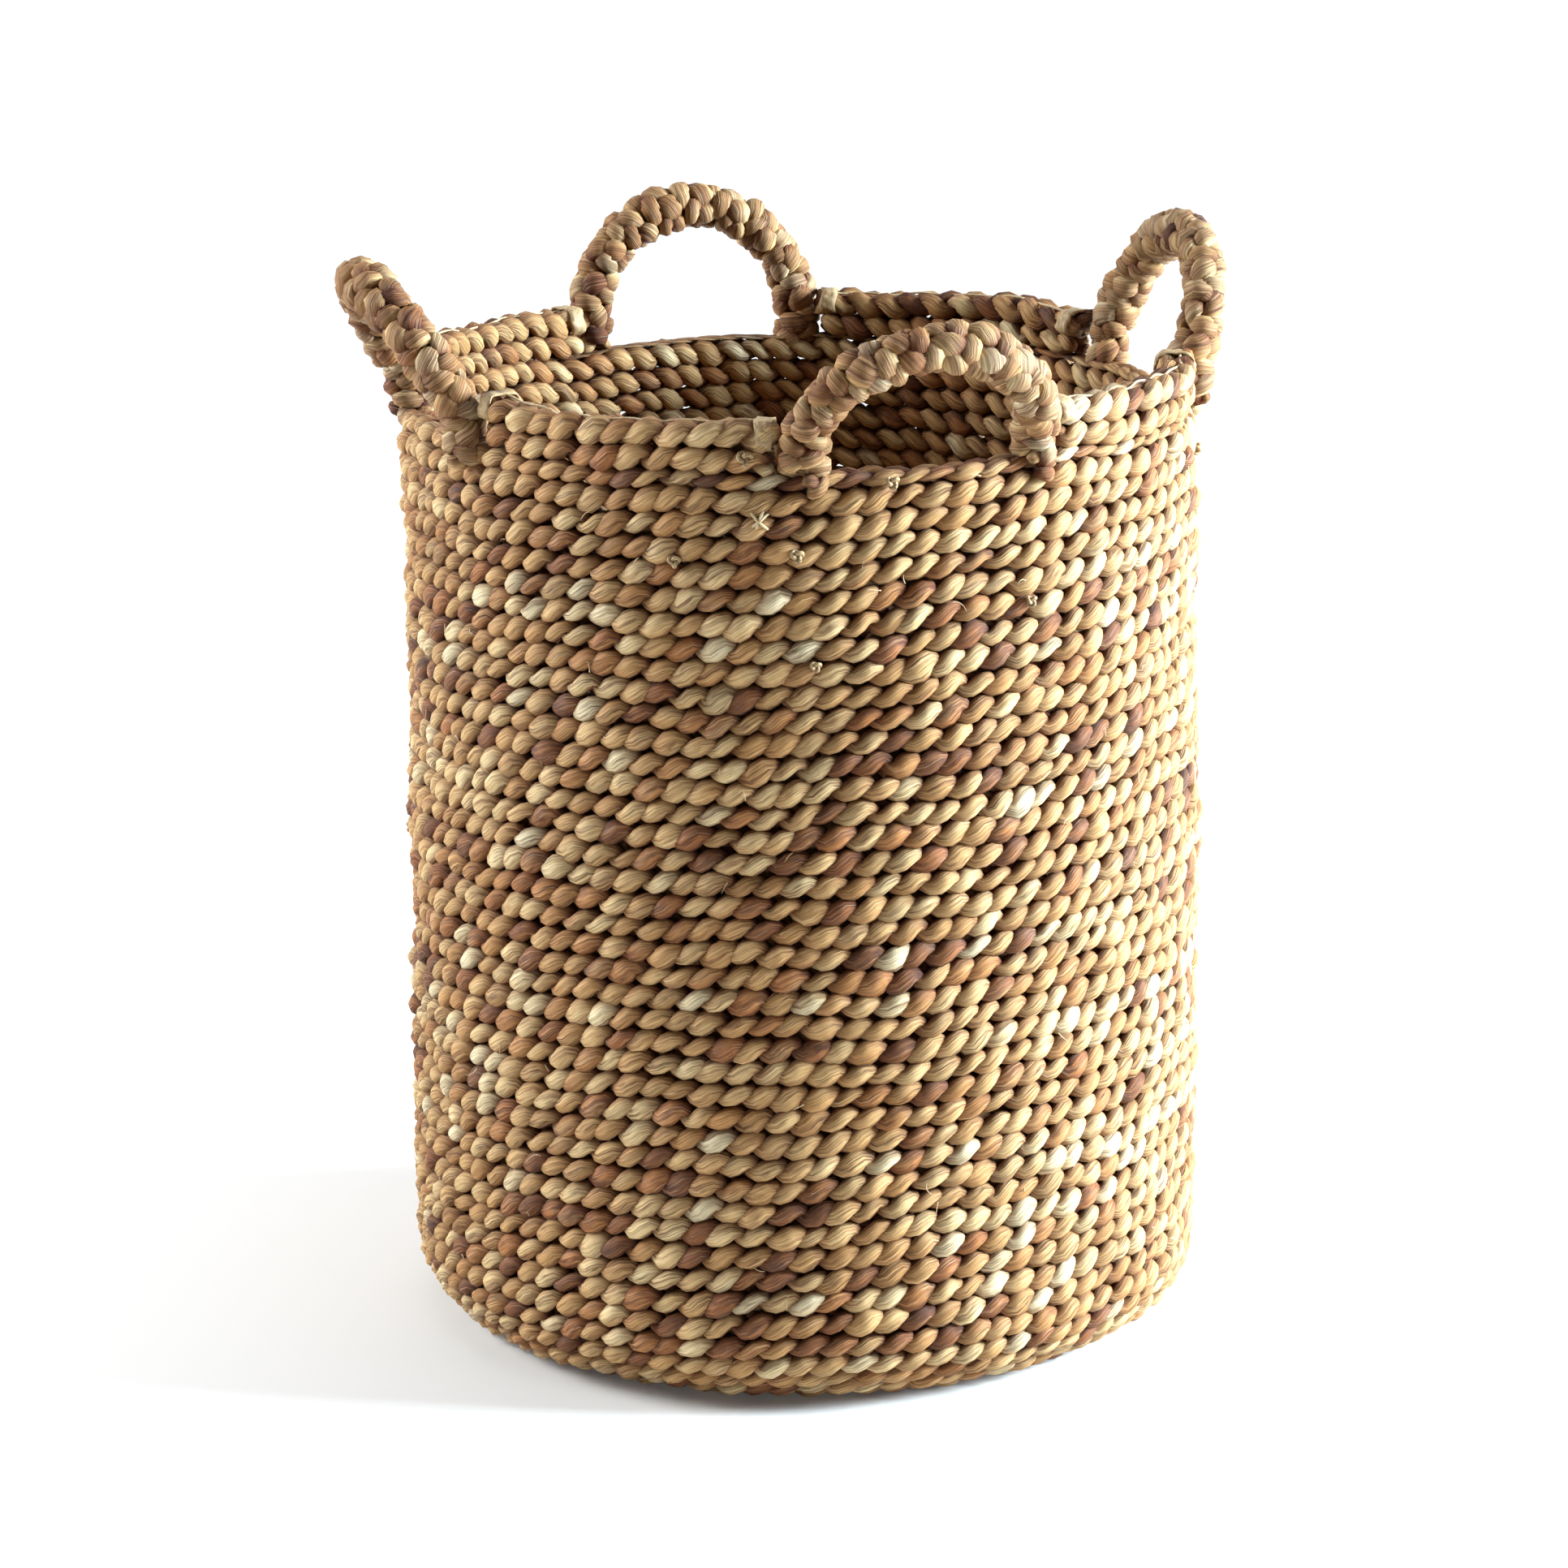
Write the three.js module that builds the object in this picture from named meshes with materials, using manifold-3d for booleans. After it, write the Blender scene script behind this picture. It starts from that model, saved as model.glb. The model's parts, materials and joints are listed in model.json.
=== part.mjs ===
// Laundry basket coiled from a flat plait of dried water hyacinth.
//
// One plait, laid on edge, is wound outward into the flat base, round the bottom corner and then up
// the wall, each turn (a course) sewn to the one below. The last courses stop at four arched rope
// handles, so the rim is four separate arcs with a handle standing between each pair.
//
// Millimetres. +Z is up. The origin is the centre of the flat underside. The handles stand at
// -Y (front), +X (right), +Y (back) and -X (left).

import * as THREE from 'three';
import { mergeVertices } from 'three/addons/utils/BufferGeometryUtils.js';
import Module from 'manifold-3d';

// ---- Driving dimensions -------------------------------------------------------------------------

const bodyHeight = 494;          // floor to the crest of the rim
const topRadius = 200;           // wall crest at the rim
const bottomRadius = 203.5;      // wall crest carried down to floor level
const wallThickness = 20;        // width of the flat plait, which is the wall and the base thickness
const courseHeight = 11.7;       // nominal height of one course
const grooveDepth = 2.6;         // how far the seam between two courses lies behind their crests
const cornerRadius = 36;         // outside radius between wall and base
const cornerSplit = [2, 3];       // courses in the two lengths of plait that turn the corner
const rimCourses = 2;            // courses that the handles interrupt
const wallLengths = 8;           // lengths of plait joined end to end up the wall
const baseStartRadius = 84;      // where the first base length ends and the second begins

const ropeRadius = 11;           // handle rope
const coreRadius = 4;            // bundle of stems inside the handle rope
const handleHalfSpan = 57.5;     // middle of the arch to the middle of a leg
const handleRise = 60;           // bend line to the middle of the rope at the top of an average arch
const footInset = 2.8;           // wall crest in to the middle of a handle foot
const footFloor = 2;             // rope left under the bend at the middle of a foot

const wrapWidth = 7;             // leaf binding round the cut end of a rim course
const wrapLeaf = 1;              // thickness of that leaf
const threadRadius = 0.8;        // sewing thread along the rim crest
const threadBury = 0.9;          // how deep the thread pulls into the crest

const pieceGap = 0.3;            // between pieces that touch
const endGap = 1.2;              // between a handle leg and the cut end of a rim course

const inwardLimit = THREE.MathUtils.degToRad(25);     // furthest a handle bends in from upright
const outwardLimit = THREE.MathUtils.degToRad(42);    // furthest a handle bends out from upright

// Each handle: its name, its direction round the rim, how far out it leans when left alone, and its
// height as a share of the average, because no two are quite alike.
const handles = [
    { name: 'front', azimuth: -Math.PI / 2, lean: THREE.MathUtils.degToRad(32), share: 0.92 },
    { name: 'right', azimuth: 0, lean: THREE.MathUtils.degToRad(18), share: 1.04 },
    { name: 'back', azimuth: Math.PI / 2, lean: THREE.MathUtils.degToRad(10), share: 0.97 },
    { name: 'left', azimuth: Math.PI, lean: THREE.MathUtils.degToRad(31), share: 1.12 },
];

// The rim arc that follows each handle, going anticlockwise seen from above.
const arcNames = ['front_right', 'back_right', 'back_left', 'front_left'];

const archLegShare = 0.1;        // share of a handle's length that each straight leg takes
const ringSegments = 32;
const arcSegments = 64;
const ropeSides = 10;
const ropeSteps = 14;
const trimSides = 6;

// ---- Sizes worked out from them -----------------------------------------------------------------

const wallBase = cornerRadius;
const cornerCourses = cornerSplit[0] + cornerSplit[1];
const wallCourses = Math.round((bodyHeight - wallBase) / courseHeight) - rimCourses;
const coursePitch = (bodyHeight - wallBase) / (wallCourses + rimCourses);
const wallTop = wallBase + wallCourses * coursePitch;
const baseRadius = bottomRadius - cornerRadius;
const hingeHeight = wallTop + pieceGap + footFloor + ropeRadius + pieceGap;
const handleDistance = Math.sqrt((topRadius - footInset) ** 2 - handleHalfSpan ** 2);
const steepestLean = Math.max(inwardLimit, outwardLimit);
const legAngle = Math.atan2(handleHalfSpan, handleDistance);
const legHalfAngle = Math.asin((ropeRadius + endGap) / (topRadius - wallThickness));
const arcStart = legAngle + legHalfAngle;

/** Radius of the wall's crests at height z. */
function crestRadius(z) {
    return bottomRadius + (topRadius - bottomRadius) * z / bodyHeight;
}

// ---- Finishes -----------------------------------------------------------------------------------

const courseFinish = { color: 0xbf9257, roughness: 0.72, metalness: 0 };
const baseFinish = { color: 0xa9804c, roughness: 0.78, metalness: 0 };
const rimFinish = { color: 0xb88a52, roughness: 0.7, metalness: 0 };
const ropeFinish = { color: 0xb59566, roughness: 0.68, metalness: 0 };
const footFinish = { color: 0xa07d4f, roughness: 0.72, metalness: 0 };
const coreFinish = { color: 0x8c6a40, roughness: 0.85, metalness: 0 };
const leafFinish = { color: 0xcfb98c, roughness: 0.66, metalness: 0 };
const threadFinish = { color: 0xd8c9a8, roughness: 0.8, metalness: 0 };

/** A named sub-part from its geometry and finish. */
function subPart(name, geometry, finish) {
    const mesh = new THREE.Mesh(geometry, new THREE.MeshStandardMaterial(finish));
    mesh.name = name;
    return mesh;
}

// ---- Joining and cutting ------------------------------------------------------------------------

const wasm = await Module();
wasm.setup();

/** The solid that a closed geometry bounds. */
function solidOf(geometry) {
    const bare = geometry.clone();
    bare.deleteAttribute('normal');
    bare.deleteAttribute('uv');
    const merged = mergeVertices(bare, 1e-4);
    return new wasm.Manifold(new wasm.Mesh({
        numProp: 3,
        vertProperties: Float32Array.from(merged.attributes.position.array),
        triVerts: Uint32Array.from(merged.index.array),
    }));
}

/** The geometry of a solid. */
function geometryOf(solid) {
    const mesh = solid.getMesh();
    const geometry = new THREE.BufferGeometry();
    geometry.setAttribute('position', new THREE.BufferAttribute(mesh.vertProperties, 3));
    geometry.setIndex(new THREE.BufferAttribute(mesh.triVerts, 1));
    geometry.computeVertexNormals();
    return geometry;
}

// ---- Shapes -------------------------------------------------------------------------------------

/** A ring turned about +Z from a closed outline of [radius, z], given anticlockwise. */
function turnedRing(outline, segments) {
    const points = [...outline, outline[0]].map(([r, z]) => new THREE.Vector2(r, z));
    return new THREE.LatheGeometry(points, segments).rotateX(Math.PI / 2);
}

/** A disc turned about +Z from an outline of [radius, z] that starts and ends on the axis. */
function turnedDisc(outline, segments) {
    const points = outline.map(([r, z]) => new THREE.Vector2(r, z));
    return new THREE.LatheGeometry(points, segments).rotateX(Math.PI / 2);
}

/** A pie slice about +Z between two angles, tall and wide enough to cut any rim piece. */
function slice(from, to) {
    const reach = 2 * topRadius;
    const outline = new THREE.Shape();
    outline.moveTo(0, 0);
    outline.lineTo(reach * Math.cos(from), reach * Math.sin(from));
    const middle = (from + to) / 2;
    outline.lineTo(reach * Math.cos(middle), reach * Math.sin(middle));
    outline.lineTo(reach * Math.cos(to), reach * Math.sin(to));
    outline.closePath();
    const tall = new THREE.ExtrudeGeometry(outline, { depth: 2 * bodyHeight, bevelEnabled: false });
    return solidOf(tall);
}

/** A rod along an axis ('x', 'y' or 'z'), centred on the origin. */
function rod(axis, radius, length, sides) {
    const geometry = new THREE.CylinderGeometry(radius, radius, length, sides);
    if (axis === 'x') geometry.rotateZ(Math.PI / 2);
    if (axis === 'z') geometry.rotateX(Math.PI / 2);
    return geometry;
}

/** Outline of stacked courses: rounded crests outside, plain inside. */
function courseOutline(bottom, courses, pitch) {
    const inner = (z) => crestRadius(z) - wallThickness;
    const top = bottom + courses * pitch;
    const outline = [[inner(bottom), bottom], [crestRadius(bottom) - grooveDepth, bottom]];
    for (let i = 0; i < courses; i += 1) {
        const crest = bottom + (i + 0.5) * pitch;
        const seam = bottom + (i + 1) * pitch;
        outline.push([crestRadius(crest), crest]);
        outline.push([crestRadius(seam) - grooveDepth, seam]);
    }
    outline.push([inner(top), top]);
    return outline;
}

/** The arch that a handle follows, in its own plane: half an ellipse on two short legs. */
class HandleArch extends THREE.Curve {
    constructor(rise, legDrop) {
        super();
        this.rise = rise;
        this.legDrop = legDrop;
    }

    getPoint(t, target = new THREE.Vector3()) {
        const toEnd = Math.min(t, 1 - t);
        const side = t < 0.5 ? -1 : 1;
        if (toEnd < archLegShare) {
            return target.set(0, side * handleHalfSpan, -this.legDrop * (1 - toEnd / archLegShare));
        }
        const angle = Math.PI * (t - archLegShare) / (1 - 2 * archLegShare);
        return target.set(0, -handleHalfSpan * Math.cos(angle), this.rise * Math.sin(angle));
    }
}

/** A rope along a curve, hollow when it has a bore. */
function rope(curve, radius, sides, bore = 0) {
    const section = new THREE.Shape().absarc(0, 0, radius, 0, 2 * Math.PI);
    if (bore > 0) section.holes.push(new THREE.Path().absarc(0, 0, bore, 0, 2 * Math.PI, true));
    return new THREE.ExtrudeGeometry(section, {
        extrudePath: curve,
        steps: ropeSteps,
        curveSegments: sides / 2,          // a full circle gets two sides for each of these
        bevelEnabled: false,
    });
}

// ---- Base and wall ------------------------------------------------------------------------------

/** First length of plait: the middle of the base. */
function baseCentreCoil() {
    const edge = baseStartRadius - pieceGap / 2;
    return turnedDisc([[0, 0], [edge, 0], [edge, wallThickness], [0, wallThickness]], ringSegments);
}

/** Second length of plait: the rest of the flat base. */
function baseOuterCoil() {
    const from = baseStartRadius + pieceGap / 2;
    const to = baseRadius - pieceGap / 2;
    return turnedRing([[from, 0], [to, 0], [to, wallThickness], [from, wallThickness]], ringSegments);
}

/** A run of the courses that turn from the base up into the wall. */
function cornerCoil(first, courses) {
    const innerBend = cornerRadius - wallThickness;
    const centre = [baseRadius + pieceGap / 2, cornerRadius - pieceGap / 2];
    const at = (radius, turn) => [
        centre[0] + radius * Math.sin(turn),
        Math.max(centre[1] - radius * Math.cos(turn), 0),
    ];
    const gapTurn = pieceGap / innerBend;
    const start = first * Math.PI / 2 / cornerCourses + (first > 0 ? gapTurn : 0);
    const turnStep = ((first + courses) * Math.PI / 2 / cornerCourses - start) / courses;
    const outline = [at(cornerRadius - (first > 0 ? grooveDepth : pieceGap / 2), start)];
    for (let i = 0; i < courses; i += 1) {
        outline.push(at(cornerRadius - pieceGap / 2, start + (i + 0.5) * turnStep));
        outline.push(at(cornerRadius - grooveDepth, start + (i + 1) * turnStep));
    }
    for (let i = courses; i >= 0; i -= 1) outline.push(at(innerBend, start + i * turnStep));
    return turnedRing(outline, ringSegments);
}

/** Adds the lengths of plait that make up the wall, lowest first. */
function addWall(group) {
    for (let i = 0; i < wallLengths; i += 1) {
        const first = Math.round(i * wallCourses / wallLengths);
        const last = Math.round((i + 1) * wallCourses / wallLengths);
        const bottom = wallBase + first * coursePitch + pieceGap / 2;
        const courses = last - first;
        const pitch = (courses * coursePitch - pieceGap) / courses;
        const outline = courseOutline(bottom, courses, pitch);
        group.add(subPart(`wall_coil_${i + 1}`, turnedRing(outline, ringSegments), courseFinish));
    }
}

// ---- Rim ----------------------------------------------------------------------------------------

/** Bottom of a rim course, counted from 0. */
function rimCourseBottom(course) {
    return wallTop + course * coursePitch + pieceGap / 2;
}

/** Outline of the leaf round a rim course, or of the seat cut for it when grown by a clearance. */
function wrapRing(course, clearance) {
    const bottom = rimCourseBottom(course);
    const top = bottom + coursePitch - pieceGap;
    const outer = crestRadius(top);
    const skin = wrapLeaf + clearance;
    const inner = outer - wallThickness;
    const box = (low, high, near, far) => [[near, low], [far, low], [far, high], [near, high]];
    const around = solidOf(turnedRing(box(bottom, top, inner, outer), arcSegments));
    const within = box(bottom + skin, top - skin, inner + skin, outer - skin);
    return around.subtract(solidOf(turnedRing(within, arcSegments)));
}

/** The two places, as angles, where a wrap binds the ends of an arc. */
function wrapSpans(from, to) {
    const wide = wrapWidth / topRadius;
    const inset = pieceGap / topRadius;
    return [[from + inset, from + inset + wide], [to - inset - wide, to - inset]];
}

/** One course of a rim arc, seated for its wraps and thread where it carries them. */
function rimArc(course, from, to) {
    const bottom = rimCourseBottom(course);
    const pitch = coursePitch - pieceGap;
    const isTop = course === rimCourses - 1;
    const ring = solidOf(turnedRing(courseOutline(bottom, 1, pitch), arcSegments));
    let arc = ring.intersect(slice(from, to));
    if (!isTop) return geometryOf(arc);
    const margin = pieceGap / topRadius;
    const seat = wrapRing(course, pieceGap);
    for (const [near, far] of wrapSpans(from, to)) {
        const open = near < (from + to) / 2 ? [near - 2 * margin, far + margin] : [near - margin, far + 2 * margin];
        arc = arc.subtract(seat.intersect(slice(open[0], open[1])));
    }
    return geometryOf(arc.subtract(threadRing(pieceGap).intersect(slice(from - margin, to + margin))));
}

/** One leaf wrap, over its stretch of the top rim course. */
function rimWrap([near, far]) {
    return geometryOf(wrapRing(rimCourses - 1, 0).intersect(slice(near, far)));
}

/** The sewing thread as a full ring on the rim crest, or the groove that it pulls when grown. */
function threadRing(clearance) {
    const radius = threadRadius + clearance;
    const centre = [topRadius - wallThickness / 2, bodyHeight - pieceGap / 2 - threadBury + threadRadius];
    const outline = [];
    for (let i = 0; i < trimSides; i += 1) {
        const angle = (i + 0.5) * 2 * Math.PI / trimSides;
        outline.push([centre[0] + radius * Math.cos(angle), centre[1] + radius * Math.sin(angle)]);
    }
    return solidOf(turnedRing(outline, arcSegments));
}

/** The thread between the two wraps of a rim arc. */
function rimThread(from, to) {
    const clear = (wrapWidth + 3 * pieceGap) / topRadius;
    return geometryOf(threadRing(0).intersect(slice(from + clear, to - clear)));
}

/** Adds the four rim arcs, each of stacked courses with its wraps and its thread. */
function addRim(group) {
    arcNames.forEach((name, i) => {
        const from = handles[i].azimuth + arcStart;
        const to = handles[i].azimuth + Math.PI / 2 - arcStart;
        group.add(subPart(`rim_lower_${name}`, rimArc(0, from, to), rimFinish));
        group.add(subPart(`rim_upper_${name}`, rimArc(rimCourses - 1, from, to), rimFinish));
        const [first, last] = wrapSpans(from, to);
        group.add(subPart(`rim_wrap_${name}_start`, rimWrap(first), leafFinish));
        group.add(subPart(`rim_wrap_${name}_end`, rimWrap(last), leafFinish));
        group.add(subPart(`rim_thread_${name}`, rimThread(from, to), threadFinish));
    });
}

// ---- Handles ------------------------------------------------------------------------------------

/** The plaited cover of a handle, its two ends rounded about the bend line. */
function handlePlait(rise) {
    const cover = solidOf(rope(new HandleArch(rise, ropeRadius), ropeRadius, ropeSides, coreRadius + pieceGap));
    const span = 2 * (handleHalfSpan + 2 * ropeRadius);
    const below = new THREE.BoxGeometry(4 * ropeRadius, span, 2 * ropeRadius).translate(0, 0, -ropeRadius);
    const knuckle = solidOf(rod('y', ropeRadius, 2 * span, 2 * ropeSides));
    return geometryOf(cover.subtract(solidOf(below).subtract(knuckle)));
}

/** The bundle of stems that fills the cover, stopping just inside its rounded ends. */
function handleCore(rise) {
    const drop = Math.sqrt(ropeRadius ** 2 - coreRadius ** 2) - pieceGap;
    return rope(new HandleArch(rise, drop), coreRadius, ropeSides);
}

/** The fixed stub that a handle leg bends on, hollowed to the leg's rounded end. */
function handleFoot() {
    const bottom = wallTop + pieceGap - hingeHeight;
    const top = -ropeRadius * Math.sin(steepestLean) - pieceGap;
    const stub = rod('z', ropeRadius, top - bottom, 2 * ropeSides).translate(0, 0, (top + bottom) / 2);
    const hollow = rod('y', ropeRadius + pieceGap, 4 * ropeRadius, 2 * ropeSides);
    return geometryOf(solidOf(stub).subtract(solidOf(hollow)));
}

/** Adds one handle: two feet that stay put and the leaning arch with its core. */
function addHandle(group, { name, azimuth, lean, share }) {
    const place = new THREE.Group();
    place.rotation.z = azimuth;
    group.add(place);
    for (const [side, sign] of [['left', -1], ['right', 1]]) {
        const foot = subPart(`${name}_handle_${side}_foot`, handleFoot(), footFinish);
        foot.position.set(handleDistance, sign * handleHalfSpan, hingeHeight);
        place.add(foot);
    }
    const arch = new THREE.Group();
    arch.position.set(handleDistance, 0, hingeHeight);
    arch.rotation.y = lean;
    arch.add(subPart(`${name}_handle_plait`, handlePlait(share * handleRise), ropeFinish));
    arch.add(subPart(`${name}_handle_core`, handleCore(share * handleRise), coreFinish));
    place.add(arch);
}

// ---- The basket ---------------------------------------------------------------------------------

const group = new THREE.Group();
group.name = 'laundry_basket';
group.add(subPart('base_centre_coil', baseCentreCoil(), baseFinish));
group.add(subPart('base_outer_coil', baseOuterCoil(), baseFinish));
group.add(subPart('corner_coil_lower', cornerCoil(0, cornerSplit[0]), courseFinish));
group.add(subPart('corner_coil_upper', cornerCoil(cornerSplit[0], cornerSplit[1]), courseFinish));
addWall(group);
addRim(group);
for (const handle of handles) addHandle(group, handle);

export default group;
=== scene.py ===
"""Laundry basket coiled from a flat three-strand plait of dried water hyacinth.

One plait, laid on edge, is wound from the middle of the base out to the corner and up the wall.
Its last turn tapers away to leave a level edge, on which stand four arcs of rim and four rope
handles. Each handle is a bundle of stems with a narrower plait wound round it.
"""

import json
import logging
import math
from dataclasses import dataclass, field
from enum import Enum
from typing import Callable, Iterable, Sequence

import bpy
import numpy as np
from mathutils import Matrix, Vector


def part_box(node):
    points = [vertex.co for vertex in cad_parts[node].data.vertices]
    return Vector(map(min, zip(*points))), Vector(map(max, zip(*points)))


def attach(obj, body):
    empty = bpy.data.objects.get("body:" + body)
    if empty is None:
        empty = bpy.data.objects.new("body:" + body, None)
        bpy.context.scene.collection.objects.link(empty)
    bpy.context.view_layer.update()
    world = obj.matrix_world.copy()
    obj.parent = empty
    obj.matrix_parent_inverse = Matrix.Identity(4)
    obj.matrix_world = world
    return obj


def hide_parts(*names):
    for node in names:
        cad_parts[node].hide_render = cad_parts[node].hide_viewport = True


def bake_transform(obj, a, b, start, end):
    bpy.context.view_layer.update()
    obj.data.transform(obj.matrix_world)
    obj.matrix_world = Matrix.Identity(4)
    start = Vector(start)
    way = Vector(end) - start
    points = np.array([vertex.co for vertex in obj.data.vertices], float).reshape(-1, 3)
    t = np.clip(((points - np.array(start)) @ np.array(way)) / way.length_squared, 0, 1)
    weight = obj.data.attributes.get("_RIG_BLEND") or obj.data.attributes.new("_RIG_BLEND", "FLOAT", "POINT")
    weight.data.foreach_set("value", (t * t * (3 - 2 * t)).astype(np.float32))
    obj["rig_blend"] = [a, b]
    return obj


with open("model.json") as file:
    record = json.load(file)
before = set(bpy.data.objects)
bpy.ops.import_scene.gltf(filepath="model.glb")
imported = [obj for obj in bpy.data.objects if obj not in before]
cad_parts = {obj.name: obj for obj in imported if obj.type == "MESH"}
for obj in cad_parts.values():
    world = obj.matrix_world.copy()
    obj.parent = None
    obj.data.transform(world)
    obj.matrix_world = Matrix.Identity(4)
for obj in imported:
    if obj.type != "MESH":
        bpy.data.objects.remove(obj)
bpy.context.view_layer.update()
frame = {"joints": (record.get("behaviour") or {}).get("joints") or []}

log = logging.getLogger("basket")
TAU = 2 * math.pi
MM = 0.001

HANDLES = ("front", "right", "back", "left")
COIL_START = math.radians(135)  # direction in which the coil begins and ends, between two handles
BEND_REACH = 9 * MM  # a handle bends over this much above and below its bend line

Colour = tuple[float, float, float]


class Slot(Enum):
    """The record's material slots."""

    BASE = "base_plait"
    WALL = "wall_plait"
    ROPE = "handle_rope"
    WRAP = "leaf_wrap"
    THREAD = "sewing_thread"


# ---- Shader maths ---------------------------------------------------------------------------------


class Wire:
    """A shader socket that takes part in Python arithmetic."""

    def __init__(self, shader: "Shader", socket: bpy.types.NodeSocket) -> None:
        """Wraps one output socket of a shader's tree."""
        self.shader = shader
        self.socket = socket

    def _maths(self, operation: str, *values: object) -> "Wire":
        """Adds one Math node.

        Args:
            operation: The Math node's operation.
            values: Wires or numbers for its inputs.

        Returns:
            The node's value.
        """
        return self.shader.node("ShaderNodeMath", {"operation": operation}, *values)

    def __add__(self, other: object) -> "Wire":
        """Sum."""
        return self._maths("ADD", self, other)

    __radd__ = __add__

    def __sub__(self, other: object) -> "Wire":
        """Difference."""
        return self._maths("SUBTRACT", self, other)

    def __rsub__(self, other: object) -> "Wire":
        """Difference from a number."""
        return self._maths("SUBTRACT", other, self)

    def __mul__(self, other: object) -> "Wire":
        """Product."""
        return self._maths("MULTIPLY", self, other)

    __rmul__ = __mul__

    def __truediv__(self, other: object) -> "Wire":
        """Quotient."""
        return self._maths("DIVIDE", self, other)

    def __pow__(self, other: object) -> "Wire":
        """Power."""
        return self._maths("POWER", self, other)

    def clipped(self) -> "Wire":
        """The value held between 0 and 1."""
        return self.shader.node("ShaderNodeClamp", {}, self)


class Shader:
    """A material under construction, with one Principled shader."""

    def __init__(self, name: str, **constants: object) -> None:
        """Makes the material.

        Args:
            name: The material's name.
            constants: Values for the Principled shader's own sockets, with _ for each space.
        """
        self.material = bpy.data.materials.new(name)
        self.material.use_nodes = True
        self.tree = self.material.node_tree
        self.surface = next(n for n in self.tree.nodes if n.type == "BSDF_PRINCIPLED")
        for socket, value in constants.items():
            self.surface.inputs[socket.replace("_", " ")].default_value = value

    def node(self, kind: str, settings: dict, *values: object, out: int = 0, **named: object) -> Wire:
        """Adds any node.

        Args:
            kind: The node's type name.
            settings: Its properties, set before its sockets.
            values: Wires, numbers or None for its inputs in order.
            out: Which output to return.
            named: Wires or values for inputs by name, with _ for each space.

        Returns:
            The chosen output.
        """
        node = self.tree.nodes.new(kind)
        for key, value in settings.items():
            if key == "stops":
                self._set_stops(node.color_ramp, value)
            else:
                setattr(node, key, value)
        pairs = list(zip(node.inputs, values))
        pairs += [(node.inputs[key.replace("_", " ")], value) for key, value in named.items()]
        for socket, value in pairs:
            if isinstance(value, Wire):
                self.tree.links.new(value.socket, socket)
            elif value is not None:
                socket.default_value = value
        return Wire(self, node.outputs[out])

    @staticmethod
    def _set_stops(ramp: bpy.types.ColorRamp, stops: Sequence[tuple[float, Colour]]) -> None:
        """Gives a ramp its stops.

        Args:
            ramp: The ramp, with two stops of its own.
            stops: Each stop's place and colour.
        """
        while len(ramp.elements) < len(stops):
            ramp.elements.new(1.0)
        for element, (place, colour) in zip(ramp.elements, stops):
            element.position = place
            element.color = (*colour, 1.0)

    def attribute(self, name: str, out: int = 2) -> Wire:
        """Reads one of the piece's own attributes: out 1 is a vector and 2 a number."""
        return self.node("ShaderNodeAttribute", {"attribute_name": name}, out=out)

    def stretched(self, vector: Wire, scale: tuple[float, float, float]) -> Wire:
        """A vector multiplied axis by axis."""
        return self.node("ShaderNodeVectorMath", {"operation": "MULTIPLY"}, vector, scale)

    def noise(self, vector: Wire, scale: float, detail: float = 2.0, rough: float = 0.5) -> Wire:
        """Smooth noise, about 0.5 on average.

        Args:
            vector: Where the noise is read.
            scale: How fine it is.
            detail: Octaves of finer noise.
            rough: Strength of each finer octave.

        Returns:
            The noise's value.
        """
        return self.node(
            "ShaderNodeTexNoise", {}, Vector=vector, Scale=scale, Detail=detail, Roughness=rough
        )

    def blend(self, mode: str, amount: object, first: object, second: object) -> Wire:
        """Mixes two colours.

        Args:
            mode: The Mix node's blend type.
            amount: Share of the second colour, a wire or a number.
            first: The colour beneath, a wire or a colour.
            second: The colour laid over it, a wire or a colour.

        Returns:
            The mixed colour.
        """
        settings = {"data_type": "RGBA", "blend_type": mode}
        node = self.node("ShaderNodeMix", settings, amount, out=2)
        for index, value in ((6, first), (7, second)):
            socket = node.socket.node.inputs[index]
            if isinstance(value, Wire):
                self.tree.links.new(value.socket, socket)
            else:
                socket.default_value = (*value, 1.0)
        return node

    def bump(self, strength: float, depth: float, height: Wire) -> Wire:
        """Turns a height into a normal.

        Args:
            strength: Strength of the bump.
            depth: Depth in metres of a height of 1.
            height: The height over the surface.

        Returns:
            The normal.
        """
        node = self.node("ShaderNodeBump", {}, strength, depth)
        self.tree.links.new(height.socket, node.socket.node.inputs["Height"])
        return node

    def connect(self, **links: Wire) -> bpy.types.Material:
        """Links wires to the Principled shader.

        Args:
            links: Wires by socket name, with _ for each space.

        Returns:
            The finished material.
        """
        for socket, wire in links.items():
            self.tree.links.new(wire.socket, self.surface.inputs[socket.replace("_", " ")])
        return self.material


# ---- Finishes -------------------------------------------------------------------------------------


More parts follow.
